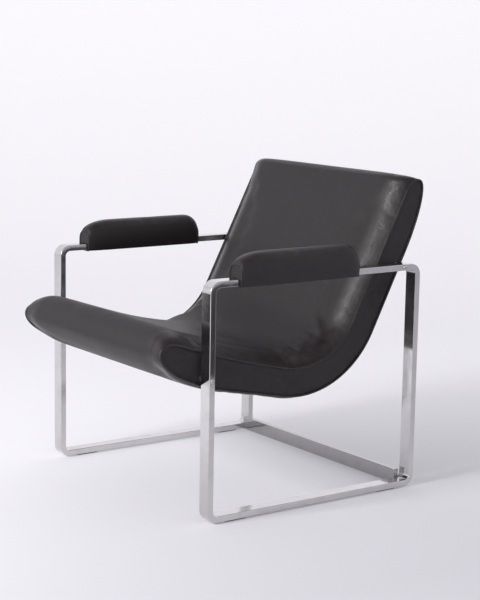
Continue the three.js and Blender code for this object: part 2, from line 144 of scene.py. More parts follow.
# Camera, at the photograph's viewing angle
cameraValues = {
    "lens": 94.0,
    "azimuth": math.radians(54.49),
    "elevation": math.radians(9.57),
    "roll": math.radians(1.0),
    "fromLoops": Vector((3.165, -2.232, 1.083)),  # from the middle of the runners
}


def makeCamera(values):
    turn, rise = values["azimuth"], values["elevation"]
    back = Vector((math.sin(turn) * math.cos(rise), -math.cos(turn) * math.cos(rise), math.sin(rise)))
    right = Vector((math.cos(turn), math.sin(turn), 0))
    axes = Matrix((right, back.cross(right), back)).transposed()
    data = bpy.data.cameras.new("camera")
    data.lens = values["lens"]
    camera = bpy.data.objects.new("camera", data)
    bpy.context.scene.collection.objects.link(camera)
    camera.rotation_mode = "QUATERNION"
    camera.rotation_quaternion = (axes @ Matrix.Rotation(values["roll"], 3, "Z")).to_quaternion()
    camera.location = values["fromLoops"] + Vector((0, loopMiddle.y, runnerZ))
    bpy.context.scene.camera = camera
    return right, back


cameraRight, towardsCamera = makeCamera(cameraValues)
print("camera set")


# Shader trees, written as sums on sockets
class Value:
    def __init__(self, finish, socket):
        self.finish = finish
        self.socket = socket

    def sum(self, operation, first, second):
        return self.finish.node("ShaderNodeMath", {"operation": operation}, {0: first, 1: second})

    def __add__(self, other):
        return self.sum("ADD", self, other)

    def __sub__(self, other):
        return self.sum("SUBTRACT", self, other)

    def __mul__(self, other):
        return self.sum("MULTIPLY", self, other)

    def __rsub__(self, other):
        return self.sum("SUBTRACT", other, self)

    __radd__ = __add__
    __rmul__ = __mul__


class Finish:
    def __init__(self, name, made=None, shader="Principled BSDF", place="Object"):
        self.made = made or bpy.data.materials.new(name)
        self.made.use_nodes = True
        self.tree = self.made.node_tree
        self.shader = self.tree.nodes[shader]
        self.place = self.node("ShaderNodeTexCoord", output=place)

    def node(self, kind, settings=None, inputs=None, output=0):
        made = self.tree.nodes.new(kind)
        for key, value in (settings or {}).items():
            setattr(made, key, value)
        self.plug(made, inputs or {})
        return Value(self, made.outputs[output])

    def plug(self, made, inputs):
        for key, value in inputs.items():
            if isinstance(value, Value):
                self.tree.links.new(value.socket, made.inputs[key])
            else:
                made.inputs[key].default_value = value

    def surface(self, inputs):
        self.plug(self.shader, inputs)
        return self.made

    def noise(self, scale, detail=3.0, roughness=0.55, place=None):
        inputs = {"Vector": place or self.place, "Scale": scale, "Detail": detail, "Roughness": roughness}
        return self.node("ShaderNodeTexNoise", {}, inputs)

    def bands(self, way, scale, distortion=0.0):
        inputs = {"Vector": self.place, "Scale": scale, "Distortion": distortion}
        return self.node("ShaderNodeTexWave", {"bands_direction": way}, inputs)

    def stretched(self, scale):
        return self.node("ShaderNodeMapping", {}, {"Vector": self.place, "Scale": scale})

    def steps(self, value, low, high):
        inputs = {"Value": value, "From Min": low, "From Max": high}
        return self.node("ShaderNodeMapRange", {"clamp": True}, inputs)

    def colours(self, factor, first, second):
        both = [c if isinstance(c, Value) else (*c, 1) for c in (first, second)]
        inputs = {0: factor, 6: both[0], 7: both[1]}
        return self.node("ShaderNodeMix", {"data_type": "RGBA"}, inputs, output=2)

    def along(self, way):
        inputs = {0: self.place, 1: way}
        return self.node("ShaderNodeVectorMath", {"operation": "DOT_PRODUCT"}, inputs, output="Value")

    def attribute(self, name):
        return self.node("ShaderNodeAttribute", {"attribute_name": name}, {}, output="Fac")

    def bump(self, height, distance, strength=1.0, under=None):
        inputs = {"Height": height, "Distance": distance, "Strength": strength}
        if under:
            inputs["Normal"] = under
        return self.node("ShaderNodeBump", {}, inputs)


# Leather: pebbled grain and creases, smoother where it is drawn tight over an edge; there its colour is
# lighter, partly rubbed wear and partly a painted highlight along the shoulders of the sling
leatherValues = {
    "dark": (0.0080, 0.0050, 0.0064),
    "light": (0.0152, 0.0108, 0.0128),
    # rubbed colour, which on the sling's shoulders is also a painted highlight
    "wornAndSheen": (0.036, 0.030, 0.031),
    "pebbles": 560,  # all counts are per metre
    "pebbleEdge": 0.24,
    "pebbleHeight": 0.0003,
    "wander": 220.0,  # bends the outlines of the pebbles
    "wanderBy": 0.0016,
    "creases": 95,
    "creaseHeight": 0.0016,
    "creaseRange": (0.35, 0.65),
    "patches": 7.0,
    "patchRange": (0.3, 0.7),
    "rubs": 38.0,
    "rubRange": (0.34, 0.7),
    "patchShade": 0.5,  # the three shades add up to the light colour
    "creaseShade": 0.2,
    "grainShade": 0.3,
    "roughness": 0.40,
    "patchRough": 0.16,
    "grainRough": 0.1,
    "tautGloss": 0.19,
    "tautCreases": 0.75,  # how much of the creases and of the grain goes where it is tight
    "tautGrain": 0.6,
    "ior": 1.43,
}


def makeLeather(name, values):
    leather = Finish(name)
    drift = leather.node(
        "ShaderNodeTexNoise", {}, {"Vector": leather.place, "Scale": values["wander"]}, output="Color"
    )
    wander = leather.node(
        "ShaderNodeVectorMath",
        {"operation": "MULTIPLY_ADD"},
        {0: drift, 1: [values["wanderBy"]] * 3, 2: leather.place},
    )
    pebbles = leather.node(
        "ShaderNodeTexVoronoi",
        {"feature": "DISTANCE_TO_EDGE"},
        {"Vector": wander, "Scale": values["pebbles"]},
    )
    grain = leather.steps(pebbles, 0.0, values["pebbleEdge"])
    creases = leather.noise(values["creases"], detail=5.0, roughness=0.62)
    patches = leather.noise(values["patches"], detail=2.0)
    taut = leather.attribute("wearAndSheen")
    # the tight band is painted lighter: rubbed wear, and on the sling's shoulders a painted highlight
    wearAndSheen = taut * leather.steps(leather.noise(values["rubs"], detail=4.0), *values["rubRange"])
    shade = leather.steps(patches, *values["patchRange"]) * values["patchShade"]
    shade = shade + leather.steps(creases, *values["creaseRange"]) * values["creaseShade"]
    shade = shade + grain * values["grainShade"]
    base = leather.colours(shade, values["dark"], values["light"])
    mixed = leather.colours(wearAndSheen, base, values["wornAndSheen"])
    rough = (patches - 0.5) * values["patchRough"] + (1 - grain) * values["grainRough"]
    rough = rough - taut * values["tautGloss"] + values["roughness"]
    creaseBump = creases * (1 - taut * values["tautCreases"])
    grainBump = grain * (1 - taut * values["tautGrain"])
    normal = leather.bump(creaseBump, values["creaseHeight"], strength=0.6)
    normal = leather.bump(grainBump, values["pebbleHeight"], strength=0.75, under=normal)
    inputs = {"Base Color": mixed, "Roughness": rough, "Normal": normal, "IOR": values["ior"]}
    return leather.surface(inputs)


# Polished steel: faint smudges, and hairlines along the bar
steelValues = {
    "light": (0.65, 0.64, 0.64),
    "dull": (0.56, 0.55, 0.55),
    "roughness": 0.055,
    "smudges": 26.0,
    "smudgeRange": (0.46, 0.74),
    "smudgeShade": 0.6,
    "smudgeRough": 0.09,
    "hairlines": (900.0, 40.0, 900.0),
    "hairlineRough": 0.035,
    "hairlineHeight": 0.00001,
    "stretcherPaintedShade": 0.70,  # painted shade: the stretcher is a darker copy of the loops' steel
}


def makePolishedSteel(name, values, shade=1.0):
    steel = Finish(name)
    spots = steel.noise(values["smudges"], detail=4.0, roughness=0.6)
    smudges = steel.steps(spots, *values["smudgeRange"])
    lengthwise = steel.stretched(values["hairlines"])
    hairlines = steel.noise(1.0, detail=2.0, roughness=0.5, place=lengthwise)
    light, dull = ([shade * part for part in values[key]] for key in ("light", "dull"))
    colour = steel.colours(smudges * values["smudgeShade"], light, dull)
    rough = smudges * values["smudgeRough"] + hairlines * values["hairlineRough"] + values["roughness"]
    normal = steel.bump(hairlines, values["hairlineHeight"], strength=0.3)
    return steel.surface({"Base Color": colour, "Metallic": 1.0, "Roughness": rough, "Normal": normal})


# Plain coats: two close colours, fine specks and slow patches
coatValues = {
    "blackNylon": {"first": (0.010, 0.010, 0.011), "second": (0.022, 0.022, 0.024), "roughness": 0.55},
    "zincPlate": {
        "first": (0.46, 0.47, 0.48), "second": (0.60, 0.61, 0.62), "roughness": 0.32, "metallic": 1.0,
    },
    "blackPowderCoat": {"first": (0.012, 0.012, 0.013), "second": (0.025, 0.025, 0.027), "roughness": 0.5},
    "blackCard": {"first": (0.010, 0.010, 0.011), "second": (0.022, 0.022, 0.024), "roughness": 0.9},
}
coatGrain = {
    "specks": 420.0,
    "speckShade": 0.4,
    "speckRough": 0.18,
    "patches": 24.0,
    "patchShade": 0.6,
    "patchRough": 0.12,
    "height": 0.00012,
}


def makeCoated(name, values, grain):
    coat = Finish(name)
    specks = coat.noise(grain["specks"])
    patches = coat.noise(grain["patches"])
    shade = patches * grain["patchShade"] + specks * grain["speckShade"]
    colour = coat.colours(shade, values["first"], values["second"])
    rough = (specks - 0.5) * grain["speckRough"] + (patches - 0.5) * grain["patchRough"]
    rough = rough + values["roughness"]
    normal = coat.bump(specks, grain["height"], strength=0.6)
    metallic = values.get("metallic", 0.0)
    return coat.surface({"Base Color": colour, "Metallic": metallic, "Roughness": rough, "Normal": normal})


# Webbing and thread: bands that cross, and a twist
webbingValues = {
    "dark": (0.008, 0.008, 0.009),
    "light": (0.03, 0.03, 0.033),
    "ribs": 160.0,
    "picks": 120.0,
    "roughness": 0.85,
    "height": 0.0004,
    "strength": 0.8,
}
threadValues = {
    "dark": (0.012, 0.011, 0.011),
    "light": (0.045, 0.042, 0.04),
    "twist": 900.0,
    "roughness": 0.6,
    "height": 0.0001,
    "strength": 0.7,
}


def makeWoven(woven, pattern, values):
    colour = woven.colours(pattern, values["dark"], values["light"])
    normal = woven.bump(pattern, values["height"], values["strength"])
    return woven.surface({"Base Color": colour, "Roughness": values["roughness"], "Normal": normal})


def makeWebbing(name, values):
    webbing = Finish(name)
    weave = webbing.bands("Y", values["ribs"]) * webbing.bands("X", values["picks"])
    return makeWoven(webbing, weave, values)


def makeThread(name, values):
    thread = Finish(name)
    twist = thread.bands("DIAGONAL", values["twist"], distortion=1.0)
    return makeWoven(thread, twist, values)


leatherFinish = makeLeather("charcoalLeather", leatherValues)
steelFinish = makePolishedSteel("polishedSteel", steelValues)
# painted shade: the same polished steel, darkened for the stretcher
shadedStretcherFinish = makePolishedSteel("shadedStretcherSteel", steelValues, steelValues["stretcherPaintedShade"])
threadFinish = makeThread("blackThread", threadValues)
webbingFinish = makeWebbing("blackWebbing", webbingValues)
coats = {name: makeCoated(name, values, coatGrain) for name, values in coatValues.items()}
print("finishes made")

# Bars: all edges of the polished steel are eased alike
barEdges = {"edge": 0.0012, "edgeSteps": 3, "edgeAngle": 50, "smoothAngle": 40}


def easeEdges(piece, values):
    modify(
        piece, "BEVEL", width=values["edge"], segments=values["edgeSteps"], limit_method="ANGLE",
        angle_limit=math.radians(values["edgeAngle"]), harden_normals=True,
    )
    smooth(piece, values["smoothAngle"])
    modify(piece, "WEIGHTED_NORMAL", keep_sharp=True)


def addRod(name, radius, length, place, sides=24):
    deselectAll()
    lying = (0, math.pi / 2, 0)
    bpy.ops.mesh.primitive_cylinder_add(vertices=sides, radius=radius, depth=length, rotation=lying)
    rod = startPiece(name)
    sizeAndPlace(rod, (1, 1, 1), place)
    return rod


# Side loops: a plane with rounded corners, hollowed to a bar, given its width and drilled
loopValues = {"bend": 0.028, "bendSteps": 18, "hole": 0.0034, "drill": 0.2}


def boltAxis(end, side):
    low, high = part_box(f"{end}_{side}_bolt")
    return (low + high) / 2


def cutHole(piece, place, values):
    drill = addRod("drill", values["hole"], values["drill"], place)
    modify(piece, "BOOLEAN", object=drill, operation="DIFFERENCE", solver="EXACT")
    bpy.data.objects.remove(drill)


def makeSideLoop(side, values):
    low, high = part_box(f"{side}_side_loop")
    size = high - low
    deselectAll()
    bpy.ops.mesh.primitive_plane_add(size=1, rotation=(0, math.pi / 2, 0))
    loop = startPiece(f"{side}SideLoop")
    sizeAndPlace(loop, (size.z, size.y, 1), (low + high) / 2)
    editing(loop)
    bpy.ops.mesh.select_all(action="SELECT")
    bpy.ops.mesh.bevel(offset=values["bend"], segments=values["bendSteps"], affect="VERTICES")
    bpy.ops.mesh.select_mode(type="FACE")
    bpy.ops.mesh.select_all(action="SELECT")
    bpy.ops.mesh.inset(thickness=barThickness)
    bpy.ops.mesh.delete(type="FACE")
    doneEditing()
    modify(loop, "SOLIDIFY", thickness=size.x, offset=0)
    for end in ("front", "rear"):
        cutHole(loop, boltAxis(end, side), values)
    easeEdges(loop, barEdges)
    finishPiece(loop, "polished_steel", steelFinish, f"{side}_side_loop")


for side in bothSides:
    makeSideLoop(side, loopValues)


# Rear stretcher: the same bar on edge between the runners
def makeStretcher():
    low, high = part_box("rear_stretcher")
    deselectAll()
    bpy.ops.mesh.primitive_cube_add(size=1)
    bar = startPiece("rearStretcher")
    sizeAndPlace(bar, high - low, (low + high) / 2)
    easeEdges(bar, barEdges)
    finishPiece(bar, "polished_steel", shadedStretcherFinish, "rear_stretcher")


makeStretcher()
print("steel frame made")

# Bolts: a button head with a hexagon socket on a plain stem
boltValues = {
    "head": 0.0055,
    "headHeight": 0.0033,
    "headSides": 40,
    "round": 0.0022,
    "roundSteps": 6,
    "socket": 0.0023,
    "socketMiddle": 0.55,  # in head heights
    "stem": 0.003,
    "smoothAngle": 35,
}


def makeBolt(values):
    tall = values["headHeight"]
    deselectAll()
    bpy.ops.mesh.primitive_cylinder_add(vertices=values["headSides"], radius=values["head"], depth=tall)
    bolt = startPiece("boltPattern")
    editing(bolt, "EDGE")
    rim = tall / 2 * justUnder
    points = bolt.data.vertices
    pick(bolt, lambda edge: all(points[v].co.z > rim for v in edge.vertices), "edges")
    bpy.ops.mesh.bevel(offset=values["round"], segments=values["roundSteps"])
    doneEditing()
    bpy.ops.mesh.primitive_cylinder_add(vertices=6, radius=values["socket"], depth=tall)
    key = startPiece("socketKey")
    sizeAndPlace(key, (1, 1, 1), (0, 0, tall * values["socketMiddle"]))
    modify(bolt, "BOOLEAN", object=key, operation="DIFFERENCE", solver="EXACT")
    bpy.data.objects.remove(key)
    return bolt


def placeBolt(pattern, end, side, values):
    low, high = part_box(f"{end}_{side}_bolt")
    way = bothSides[side]
    outer = high.x if way > 0 else low.x
    middle = (low + high) / 2
    tall = values["headHeight"]
    bolt = copyOf(pattern, f"{end}{side.title()}Bolt")
    bolt.rotation_euler = (0, way * math.pi / 2, 0)
    sizeAndPlace(bolt, (1, 1, 1), (outer - way * tall / 2, middle.y, middle.z))
    length = high.x - low.x - tall
    stem = addRod("stem", values["stem"], length, (outer - way * (tall + length / 2), middle.y, middle.z))
    workOn(bolt)
    stem.select_set(True)
    bpy.ops.object.join()
    smooth(bolt, values["smoothAngle"])
    finishPiece(bolt, "zinc_steel", coats["zincPlate"], f"{end}_{side}_bolt")


boltPattern = makeBolt(boltValues)
for end in ("front", "rear"):
    for side in bothSides:
        placeBolt(boltPattern, end, side, boltValues)
bpy.data.objects.remove(boltPattern)
print("bolts made")

# The sling's line: straight under the seat, round the crease, straight behind the back
slingForm = {
    "lowest": 0.262,
    "seatPitch": math.radians(11.5),
    "backLean": math.radians(27.1),
    "creaseRadius": 0.245,
    "backRun": 0.384,
    "noseOverhang": 0.127,
    "railMiddle": 0.0135,
    "boxing": 0.062,
    "crown": 0.030,
    "crownPower": 9,
    "noseRise": 0.030,
    "rearCrown": 0.003,
    "noseReach": 0.056,
    "noseUnder": 0.200,
    "noseTip": 0.062,
    "noseDraw": 0.006,
    "topReach": 0.030,
    "topSlope": 0.170,
    "topTip": 0.038,
    "topDraw": 0.003,
    "topSpare": 0.003,  # drawn back in by the subdivision
    "cover": 0.0023,  # leather and its gap to the foam
    "sideDraw": 0.003,
}


def settleSling(form):
    pitch, lean = form["seatPitch"], form["backLean"]
    bolt = boltAxis("rear", "left")
    creaseZ = form["lowest"] + form["creaseRadius"]
    railRadius = form["creaseRadius"] - form["railMiddle"]
    boltRise = bolt.z - creaseZ + railRadius * math.sin(lean)
    boltReach = railRadius * math.cos(lean) + boltRise * math.tan(lean)
    centre = Vector((bolt.y - boltReach, creaseZ))
    frontLeg = loopLow.y + barThickness / 2
    creaseStart = centre.x - form["creaseRadius"] * math.sin(pitch)
    form["centre"] = centre
    form["halfWidth"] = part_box("foam_pad")[1].x
    form["seatRun"] = (creaseStart - frontLeg + form["noseOverhang"]) / math.cos(pitch)
    form["creaseTurn"] = math.pi / 2 - lean + pitch
    form["creaseEnd"] = form["seatRun"] + form["creaseRadius"] * form["creaseTurn"]
    form["length"] = form["creaseEnd"] + form["backRun"]


settleSling(slingForm)


def onSling(form, x, s, lift):
    turned = (s - form["seatRun"]) / form["creaseRadius"]
    heading = min(max(turned, 0), form["creaseTurn"]) - form["seatPitch"]
    along = Vector((math.cos(heading), math.sin(heading)))
    up = Vector((-along.y, along.x))
    straight = min(s - form["seatRun"], 0) + max(s - form["creaseEnd"], 0)
    place = form["centre"] + up * (lift - form["creaseRadius"]) + along * straight
    return Vector((x, place.x, place.y))


def roundEnd(distance, reach):
    return math.sqrt(max(0, 1 - (1 - min(distance / reach, 1)) ** 2))


def padEnds(form, swell, grow):
    start = form["noseDraw"] * (1 - swell) - grow
    end = form["length"] - form["topDraw"] * (1 - swell) + form["topSpare"] * swell + grow
    return start, end


def padFaces(form, s, swell, grow):
    rise = form["noseRise"] * max(0, 1 - s / form["seatRun"]) ** 2
    face = form["boxing"] + rise + form["crown"] * swell + grow
    rear = -form["rearCrown"] * swell - grow
    start, end = padEnds(form, swell, grow)
    tip, faceReach, rearReach, distance = form["noseTip"], form["noseReach"], form["noseUnder"], s - start
    if s > form["seatRun"]:
        tip, faceReach, rearReach, distance = form["topTip"], form["topReach"], form["topSlope"], end - s
    faceBlend = roundEnd(distance, faceReach + grow)
    rearBlend = roundEnd(distance, rearReach + grow)
    return tip + (face - tip) * faceBlend, tip + (rear - tip) * rearBlend


# Sling pad: one closed cover with seams along both sides, filled by pressure
padValues = {
    "columns": 64,
    "edgeColumns": 0.45,  # how much closer the columns lie at the sides
    "noseSteps": 10,
    "seatStep": 0.009,
    "topSteps": 8,
    "sideRows": 8,
    "slack": 0.012,
    "pressure": 3.5,
    "frames": 20,
    "faceCap": 0.004,
    "rearCap": 0.006,
    "sideCap": 0.004,
    "tipCap": 0.0015,
    "tipReach": 0.09,
    "under": 0.002,  # how far the cover starts inside its full form
    "shoulder": 0.066,  # width of the rounding along both sides of the face
    "shoulderPower": 1.7,
    "tautMiddle": 0.030,  # the leather is tightest this far from the seams, and this band is painted lighter as a highlight
    "tautHalf": 0.028,
}


def padStations(form, values, swell):
    start, end = padEnds(form, swell, form["cover"])
    noseEnd = start + form["noseReach"] + form["cover"]
    topStart = end - form["topReach"] - form["cover"]
    stations = [start + (noseEnd - start) * (1 - math.cos(i / values["noseSteps"] * math.pi / 2))
                for i in range(values["noseSteps"])]
    steps = round((form["length"] - form["noseReach"] - form["topReach"]) / values["seatStep"])
    stations += [noseEnd + (topStart - noseEnd) * i / steps for i in range(steps)]
    stations += [topStart + (end - topStart) * math.sin(i / values["topSteps"] * math.pi / 2)
                 for i in range(values["topSteps"] + 1)]
    return stations


def padColumns(form, values):
    columns = []
    for i in range(values["columns"] + 1):
        u = 2 * i / values["columns"] - 1
        share = (1 - values["edgeColumns"]) * u + values["edgeColumns"] * math.sin(u * math.pi / 2)
        swell = math.sqrt(max(0, 1 - abs(share) ** form["crownPower"]))
        columns.append((share, swell))
    return columns


def makePadMesh(form, values):
    columns = padColumns(form, values)
    cover = form["cover"]
    ends = [min(s, form["length"] - s) for s in padStations(form, values, 1)]
    tips = [min(max(d / values["tipReach"], 0), 1) for d in ends]
    faceGrid, rearGrid = [], []
    for share, swell in columns:
        x = share * (form["halfWidth"] + cover)
        stations = padStations(form, values, swell)
        lifts = [padFaces(form, s, swell, cover) for s in stations]
        inset = min((1 - abs(share)) * form["halfWidth"] / values["shoulder"], 1)
        rounding = swell - 1 + (1 - inset) ** values["shoulderPower"]
        sunk = [(values["under"] * swell + form["crown"] * rounding) * tip for tip in tips]
        faceLifts = [face - d for (face, rear), d in zip(lifts, sunk)]
        faceGrid.append([onSling(form, x, s, lift) for s, lift in zip(stations, faceLifts)])
        rearGrid.append([onSling(form, x, s, rear) for s, (face, rear) in zip(stations, lifts)])
    count = len(faceGrid[0])
    ring = 2 * count - 2
    points, faces, seams, caps = [], [], [], []
    faceCaps = [values["tipCap"] + (values["faceCap"] - values["tipCap"]) * t for t in tips]
    rearCaps = [values["tipCap"] + (values["rearCap"] - values["tipCap"]) * t for t in tips]
    for face, rear in zip(faceGrid, rearGrid):
        points += face + rear[-2:0:-1]
        caps += faceCaps + rearCaps[-2:0:-1]
    last = len(columns) - 1
    for c in range(last):
        for r in range(ring):
            a, b = c * ring + r, c * ring + (r + 1) % ring
            faces.append((a, b, b + ring, a + ring))
    rows = values["sideRows"]
    for c in (0, last):
        way = -1 if c == 0 else 1
        edge = [c * ring + r for r in range(ring)]
        seams += edge
        strips = [edge[:count]]
        for k in range(1, rows):
            strip = [edge[0]]
            for r in range(1, count - 1):
                low, high = points[edge[ring - r]], points[edge[r]]
                place = high.lerp(low, k / rows)
                depth = min(1, (high - low).length / form["boxing"])
                place.x -= way * form["sideDraw"] * math.sin(k / rows * math.pi) * depth
                strip.append(len(points))
                points.append(place)
                caps.append(values["sideCap"])
            strip.append(edge[count - 1])
            strips.append(strip)
        strips.append([edge[0]] + [edge[ring - r] for r in range(1, count)])
        for upper, lower in zip(strips, strips[1:]):
            for r in range(count - 1):
                quad = [upper[r], upper[r + 1], lower[r + 1], lower[r]]
                kept = [v for i, v in enumerate(quad) if v not in quad[:i]]
                faces.append(kept)
    pad = meshFrom("slingPad", points, faces)
    return pad, seams, caps


clothValues = {
    "quality": 6,
    "mass": 0.6,
    "tension_stiffness": 25,
    "compression_stiffness": 25,
    "shear_stiffness": 12,
    "bending_stiffness": 1.2,
}


def inflate(piece, pinned, values, caps):
    rest = [v.co.copy() for v in piece.data.vertices]
    piece.vertex_groups.new(name="sewn").add(pinned, 1.0, "REPLACE")
    workOn(piece)
    cloth = piece.modifiers.new("cloth", "CLOTH")
    settings = cloth.settings
    for key, value in clothValues.items():
        setattr(settings, key, value)
    settings.shrink_min = -values["slack"]
    settings.vertex_group_mass = "sewn"
    settings.use_pressure = True
    settings.uniform_pressure_force = values["pressure"]
    settings.effector_weights.gravity = 0
    cloth.collision_settings.use_collision = False
    cloth.point_cache.frame_start = 1
    cloth.point_cache.frame_end = values["frames"]
    for step in range(1, values["frames"] + 1):
        bpy.context.scene.frame_set(step)
    bpy.ops.object.modifier_apply(modifier=cloth.name)
    bpy.context.scene.frame_set(1)
    for vertex, place in zip(piece.data.vertices, rest):
        move = vertex.co - place
        cap = caps[vertex.index]
        if move.length > cap:
            vertex.co = place + move.normalized() * cap
    piece.vertex_groups.clear()


# stores the tightness that the leather turns into gloss and rubbed colour, and on the sling's shoulders
# into a painted highlight
def paintWearAndSheen(piece, amount):
    wearAndSheen = piece.data.attributes.new("wearAndSheen", "FLOAT", "POINT")
    wearAndSheen.data.foreach_set("value", [amount(v) for v in piece.data.vertices])


def makeSlingPad(form, values):
    pad, seams, caps = makePadMesh(form, values)
    inflate(pad, seams, values, caps)
    # painted highlight: a band along both shoulders of the sling is lightened as well as made glossier
    tautest = form["halfWidth"] - values["tautMiddle"]
    paintWearAndSheen(pad, lambda v: max(0, 1 - abs(tautest - abs(v.co.x)) / values["tautHalf"]))
    modify(pad, "SUBSURF", levels=1, render_levels=1)
    smooth(pad)
    hides = ("face_panel", "rear_panel", "left_boxing", "right_boxing")
    finishPiece(pad, "black_leather", leatherFinish, "foam_pad", *hides)
    return pad


slingPad = makeSlingPad(slingForm, padValues)
print("sling pad made")

# Welts: a leather cord sewn round each side of the sling
weltValues = {"radius": 0.0026, "roundness": 4, "stand": 0.0004, "taut": 0.9}


def seamLine(form, values, way):
    stations = padStations(form, values, 0)
    x = way * (form["halfWidth"] + form["cover"] + weltValues["stand"])
    lifts = [padFaces(form, s, 0, form["cover"]) for s in stations]
    over = [onSling(form, x, s, face) for s, (face, rear) in zip(stations, lifts)]
    under = [onSling(form, x, s, rear) for s, (face, rear) in zip(stations, lifts)]
    return over + under[-2:0:-1]


def tubeAlong(name, points, radius, roundness):
    curve = bpy.data.curves.new(name, "CURVE")
    curve.dimensions = "3D"
    curve.bevel_depth = radius
    curve.bevel_resolution = roundness
    spline = curve.splines.new("POLY")
    spline.points.add(len(points) - 1)
    for point, place in zip(spline.points, points):
        point.co = (*place, 1)
    spline.use_cyclic_u = True
    tube = bpy.data.objects.new(name, curve)
    bpy.context.scene.collection.objects.link(tube)
    workOn(tube)
    bpy.ops.object.convert(target="MESH")
    smooth(bpy.context.object)
    return bpy.context.object


for side, way in bothSides.items():
    line = seamLine(slingForm, padValues, way)
    welt = tubeAlong(f"{side}Welt", line, weltValues["radius"], weltValues["roundness"])
    paintWearAndSheen(welt, lambda v: weltValues["taut"])
    finishPiece(welt, "black_leather", leatherFinish, f"{side}_welt")
print("welts made")

# Topstitching beside the welts: one stitch, copied along each seam onto the leather
stitchValues = {
    "size": (0.0038, 0.0010, 0.0007),
    "pitch": 0.0052,
    "inset": 0.009,  # from the welt
    "lift": 0.0002,
    "endGap": 0.02,  # left unstitched at the nose and the top
    "step": 0.01,
}


def makeStitch(values):
    deselectAll()
    bpy.ops.mesh.primitive_uv_sphere_add(segments=8, ring_count=6, radius=0.5)
    stitch = startPiece("stitchPattern")
    sizeAndPlace(stitch, values["size"], (0, 0, 0))
    return stitch


def evenPoints(line, pitch):
    places, carry = [], 0.0
    for a, b in zip(line, line[1:]):
        length = (b - a).length
        while carry < length:
            places.append((a.lerp(b, carry / length), (b - a).normalized()))
            carry += pitch
        carry -= length
    return places


def sewAlong(name, line, pattern, cloth, values):
    points, faces = [], []
    shape = [v.co.copy() for v in pattern.data.vertices]
    rings = [tuple(f.vertices) for f in pattern.data.polygons]
    for place, along in evenPoints(line, values["pitch"]):
        onCloth, normal, _, _ = cloth.find_nearest(place)
        across = normal.cross(along).normalized()
        turn = Matrix((along, across, along.cross(across))).transposed()
        start = len(points)
        points += [onCloth + normal * values["lift"] + turn @ p for p in shape]
        faces += [tuple(start + i for i in ring) for ring in rings]
    row = meshFrom(name, points, faces)
    smooth(row)
    finishPiece(row, "webbing", threadFinish)


def stitchLine(form, values, way, whichFace):
    x = way * (form["halfWidth"] - values["inset"])
    share = 1 - values["inset"] / form["halfWidth"]
    swell = math.sqrt(1 - share ** form["crownPower"])
    start, end = values["endGap"], form["length"] - values["endGap"]
    count = round((end - start) / values["step"])
    stations = [start + (end - start) * i / count for i in range(count + 1)]
    return [onSling(form, x, s, padFaces(form, s, swell, form["cover"])[whichFace]) for s in stations]


padCloth = BVHTree.FromObject(slingPad, bpy.context.evaluated_depsgraph_get())
stitchPattern = makeStitch(stitchValues)
for side, way in bothSides.items():
    for whichFace, place in enumerate(("Face", "Rear")):
        line = stitchLine(slingForm, stitchValues, way, whichFace)
        sewAlong(f"{side}{place}Stitches", line, stitchPattern, padCloth, stitchValues)
bpy.data.objects.remove(stitchPattern)
print("stitches made")

# Arm pads: a round cover sewn over each arm bar, flat underneath, with a panel at both ends
armValues = {
    "front": -0.226,  # from the middle of the loop
    "rear": 0.107,
    "half": 0.029,
    "rise": 0.064,
    "belly": 0.012,
    "frontEnd": 0.070,
    "rearEnd": 0.030,
    "endWidth": 0.76,
    "endRise": 0.5,
    "round": 0.8,
    "flat": 0.86,
    "cover": 0.0023,
    "overSteps": 28,
    "sideSteps": 6,
    "underSteps": 10,
    "endSteps": 9,
    "middleSteps": 26,
    "panelSteps": 4,
    "tunnel": (0.0354, 0.0154),
    "tunnelSteps": (0.001, 0.004, 0.012),  # rings inside each end of the passage for the bar
    "slack": 0.0,
    "pressure": 4.0,
    "frames": 20,
    "cap": 0.003,
    "gap": 0.0003,  # between bar and cover
    "heldBelow": 0.001,  # under the bar the cover keeps its form
    "tautFrom": 0.05,  # above the bar the leather is tighter
    "tautTop": 0.5,
    "tautSide": 0.1,
    "piping": 0.0014,
    "pipingRoundness": 3,
    "pipingTaut": 0.8,
}


def armSection(values, full):
    grow = values["cover"]
    half = (values["half"] + grow) * (values["endWidth"] + (1 - values["endWidth"]) * full)
    rise = (values["rise"] + grow - values["belly"]) * (values["endRise"] + (1 - values["endRise"]) * full)
    drop = values["belly"] + barThickness / 2 + values["gap"] + grow
    flat = values["flat"] * half
    ring = []
    for i in range(values["overSteps"]):
        angle = i * math.pi / values["overSteps"]
        across = math.copysign(abs(math.cos(angle)) ** values["round"], math.cos(angle))
        ring.append((half * across, rise * math.sin(angle) ** values["round"]))
    turns = [i * math.pi / 2 / values["sideSteps"] for i in range(values["sideSteps"])]
    ring += [(-flat - (half - flat) * math.cos(t), -drop * math.sin(t)) for t in turns]
    ring += [(-flat + 2 * flat * i / values["underSteps"], -drop) for i in range(values["underSteps"])]
    ring += [(flat + (half - flat) * math.sin(t), -drop * math.cos(t)) for t in turns]
    return [Vector((x, 0, values["belly"] + z)) for x, z in ring]


def tunnelPoint(values, outer):
    wide, tall = values["tunnel"]
    share = max(abs(outer.x) / (wide / 2), abs(outer.z) / (tall / 2))
    return Vector((outer.x / share, 0, outer.z / share))


